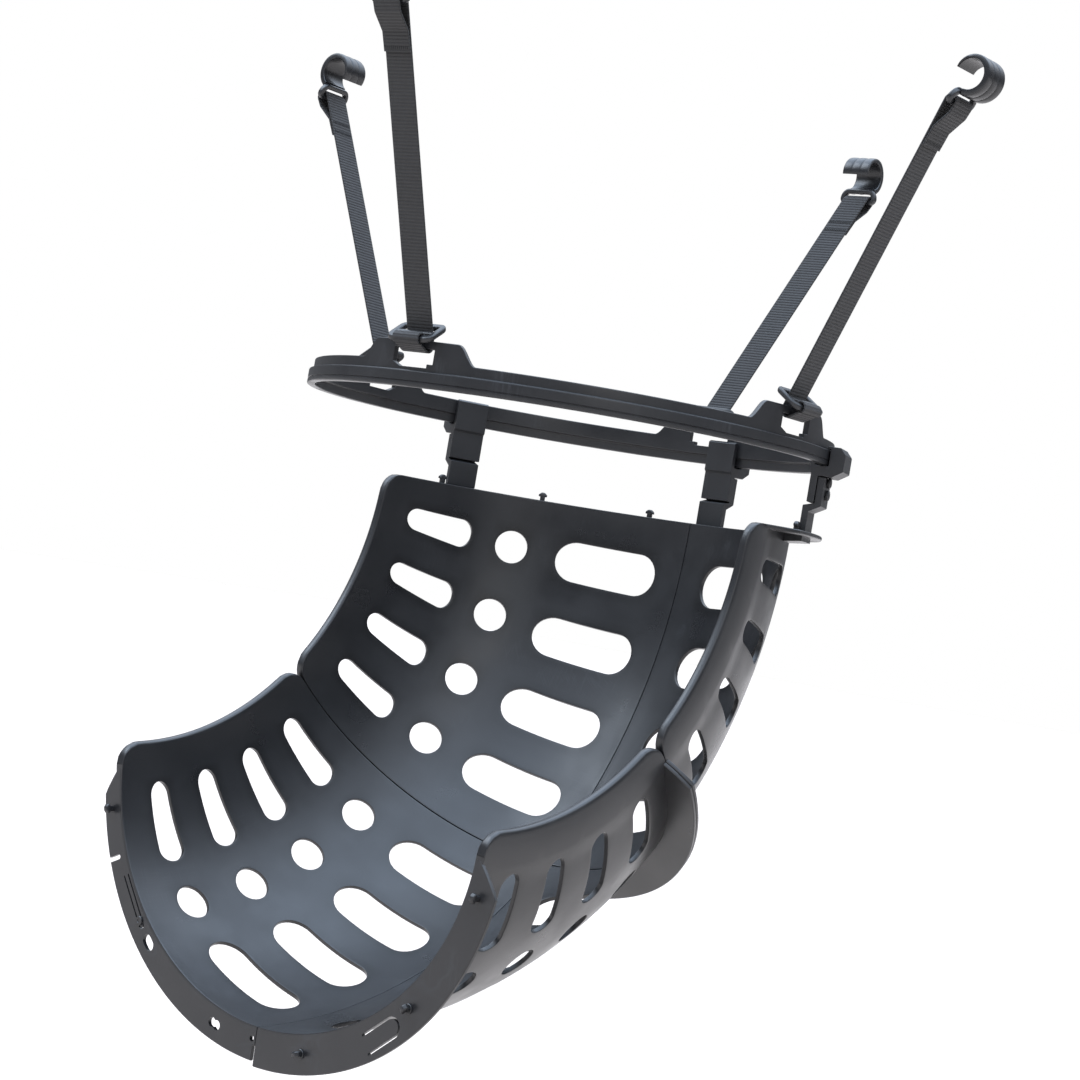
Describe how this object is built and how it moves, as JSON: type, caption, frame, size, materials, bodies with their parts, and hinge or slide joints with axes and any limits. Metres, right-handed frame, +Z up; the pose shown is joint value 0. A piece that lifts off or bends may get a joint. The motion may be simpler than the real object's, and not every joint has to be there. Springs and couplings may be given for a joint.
{
  "type": "ball return chute",
  "caption": "Half-pipe elbow of slotted black plastic panels that turns below a ring hung from a hoop on webbing straps with rim hooks, so a ball that drops in rolls back out.",
  "frame": {"origin": "centre of the hoop that the hooks hang on, level with the hoop's plane", "axes": "+Z up along the hoop's axis, -Y the side where the chute lets the ball out, +X to its right"},
  "size_m": [0.5263, 0.5246, 0.6688],
  "materials": {
    "ring_plastic": "black moulded plastic, satin",
    "panel_plastic": "black moulded plastic, satin with faint scuffs",
    "fitting_plastic": "black moulded plastic",
    "buckle_plastic": "black moulded plastic",
    "hook_plastic": "black moulded plastic",
    "webbing": "black ribbed webbing"
  },
  "bodies": {
    "ring": {"ring": "ring_plastic"},
    "chute": {"panel_upper_left": "panel_plastic", "panel_upper_right": "panel_plastic", "panel_lower_left": "panel_plastic", "panel_lower_right": "panel_plastic", "rail_clip_left": "fitting_plastic", "rail_clip_centre": "fitting_plastic", "rail_clip_right": "fitting_plastic", "leg_left": "fitting_plastic", "leg_centre": "fitting_plastic", "leg_right": "fitting_plastic", "pin_left_upper": "fitting_plastic", "pin_left_lower": "fitting_plastic", "pin_centre_upper": "fitting_plastic", "pin_centre_lower": "fitting_plastic", "pin_right_upper": "fitting_plastic", "pin_right_lower": "fitting_plastic"},
    "strap_left": {"strap_left": "webbing"},
    "buckle_left": {"buckle_left": "buckle_plastic", "webbing_fold_left": "webbing"},
    "hook_left": {"hook_left": "hook_plastic"},
    "strap_front": {"strap_front": "webbing"},
    "buckle_front": {"buckle_front": "buckle_plastic", "webbing_fold_front": "webbing"},
    "hook_front": {"hook_front": "hook_plastic"},
    "strap_back": {"strap_back": "webbing"},
    "buckle_back": {"buckle_back": "buckle_plastic", "webbing_fold_back": "webbing"},
    "hook_back": {"hook_back": "hook_plastic"},
    "strap_right": {"strap_right": "webbing"},
    "buckle_right": {"buckle_right": "buckle_plastic", "webbing_fold_right": "webbing"},
    "hook_right": {"hook_right": "hook_plastic"}
  },
  "joints": [
    {"name": "chute_turn", "type": "hinge", "parent": "ring", "child": "chute", "pos_m": [0, 0, -0.277], "axis": [0, 0, 1], "continuous": true},
    {"name": "strap_left_swing", "type": "hinge", "parent": "ring", "child": "strap_left", "pos_m": [-0.16978, -0.01187, -0.2065], "axis": [0.0698, -0.9976, 0], "range_deg": [-50, 60]},
    {"name": "buckle_left_slide", "type": "slide", "parent": "strap_left", "child": "buckle_left", "axis": [-0.3829, -0.0829, 0.9201], "range_m": [0, 0.06]},
    {"name": "hook_left_swing", "type": "hinge", "parent": "strap_left", "child": "hook_left", "pos_m": [-0.24688, -0.02823, -0.0213], "axis": [0.0698, -0.9976, 0], "range_deg": [-45, 45]},
    {"name": "strap_front_swing", "type": "hinge", "parent": "ring", "child": "strap_front", "pos_m": [0.01335, -0.16967, -0.2065], "axis": [0.9969, 0.0785, 0], "range_deg": [-50, 60]},
    {"name": "buckle_front_slide", "type": "slide", "parent": "strap_front", "child": "buckle_front", "axis": [0.0404, -0.3784, 0.9247], "range_m": [0, 0.06]},
    {"name": "hook_front_swing", "type": "hinge", "parent": "strap_front", "child": "hook_front", "pos_m": [0.02159, -0.24756, -0.0162], "axis": [0.9969, 0.0785, 0], "range_deg": [-45, 45]},
    {"name": "strap_back_swing", "type": "hinge", "parent": "ring", "child": "strap_back", "pos_m": [-0.01483, 0.16955, -0.2065], "axis": [-0.9962, -0.0872, 0], "range_deg": [-50, 60]},
    {"name": "buckle_back_slide", "type": "slide", "parent": "strap_back", "child": "buckle_back", "axis": [0.191, 0.3891, 0.9012], "range_m": [0, 0.06]},
    {"name": "hook_back_swing", "type": "hinge", "parent": "strap_back", "child": "hook_back", "pos_m": [0.02201, 0.24728, -0.0262], "axis": [-0.9962, -0.0872, 0], "range_deg": [-45, 45]},
    {"name": "strap_right_swing", "type": "hinge", "parent": "ring", "child": "strap_right", "pos_m": [0.16988, 0.01039, -0.2065], "axis": [-0.061, 0.9981, 0], "range_deg": [-50, 60]},
    {"name": "buckle_right_slide", "type": "slide", "parent": "strap_right", "child": "buckle_right", "axis": [0.3716, 0.0207, 0.9282], "range_m": [0, 0.06]},
    {"name": "hook_right_swing", "type": "hinge", "parent": "strap_right", "child": "hook_right", "pos_m": [0.24806, 0.01475, -0.0112], "axis": [-0.061, 0.9981, 0], "range_deg": [-45, 45]}
  ]
}
